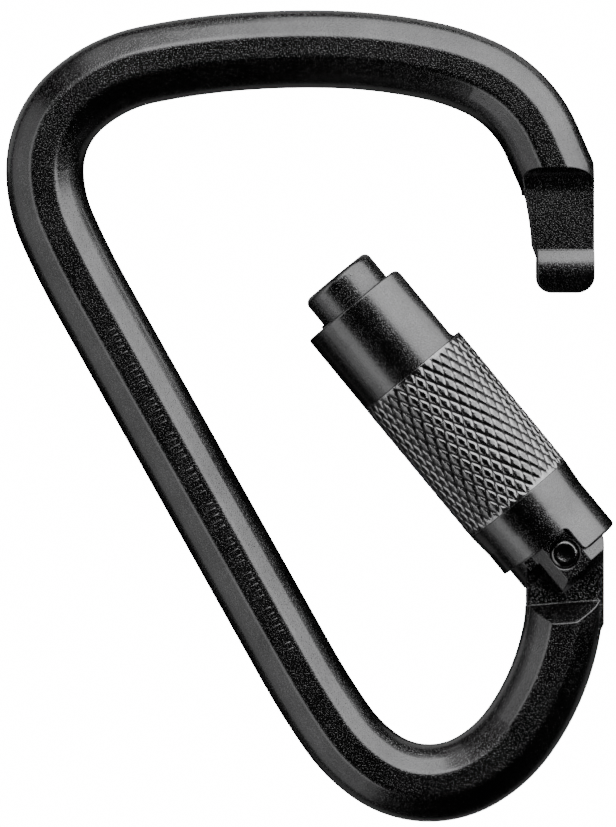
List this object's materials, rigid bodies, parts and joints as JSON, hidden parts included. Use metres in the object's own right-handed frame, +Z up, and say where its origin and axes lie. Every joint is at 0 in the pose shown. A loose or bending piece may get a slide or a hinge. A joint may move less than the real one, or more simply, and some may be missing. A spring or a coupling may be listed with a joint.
{
  "type": "locking carabiner",
  "caption": "Wide-topped steel carabiner with a spring gate, hooked nose and a knurled twist-lock sleeve; links ropes, slings and anchors.",
  "frame": {"origin": "inner crown of the wide anchor end, on the mid-plane of the bar", "axes": "+X from the spine towards the gate, +Y through the thickness, away from the side shown, +Z up along the gate when it is shut"},
  "size_m": [0.0935, 0.0188, 0.125],
  "materials": {
    "black_coated_steel": "satin",
    "black_coated_sleeve": "satin",
    "rivet_steel": "gloss",
    "bare_steel": "satin",
    "spring_steel": "polished"
  },
  "bodies": {
    "frame": {"carabiner_body": "black_coated_steel"},
    "gate": {"gate_rod": "black_coated_steel", "hinge_rivet": "rivet_steel", "sleeve_guide_pin": "bare_steel", "spring_seat_washer": "bare_steel", "gate_return_spring": "spring_steel", "sleeve_spring": "spring_steel"},
    "plunger": {"gate_plunger": "bare_steel"},
    "thrust_ring": {"spring_thrust_ring": "bare_steel"},
    "sleeve": {"locking_sleeve": "black_coated_sleeve"}
  },
  "joints": [
    {"name": "gate_swing", "type": "hinge", "parent": "frame", "child": "gate", "pos_m": [0.0404, 0, -0.0715], "axis": [0, 1, 0], "range_deg": [0, 39.5], "stiffness_Nm_per_rad": 0.25, "springref_deg": 91.67},
    {"name": "plunger_travel", "type": "slide", "parent": "gate", "child": "plunger", "axis": [0.6361, 0, -0.7716], "range_m": [0, 0.00173], "deforming": ["gate_return_spring"]},
    {"name": "sleeve_slide", "type": "slide", "parent": "gate", "child": "thrust_ring", "axis": [-0.6361, 0, 0.7716], "range_m": [0, 0.005], "stiffness_N_per_m": 150, "springref_m": 0.02, "deforming": ["sleeve_spring"]},
    {"name": "sleeve_twist", "type": "hinge", "parent": "thrust_ring", "child": "sleeve", "pos_m": [0.0404, 0, -0.0715], "axis": [-0.6361, 0, 0.7716], "range_deg": [0, 90]}
  ],
  "couplings": [
    {"joint": "plunger_travel", "follows": "gate_swing", "m_per_rad": 0.0025092},
    {"joint": "sleeve_twist", "follows": "sleeve_slide", "rad_per_m": 314.13}
  ]
}
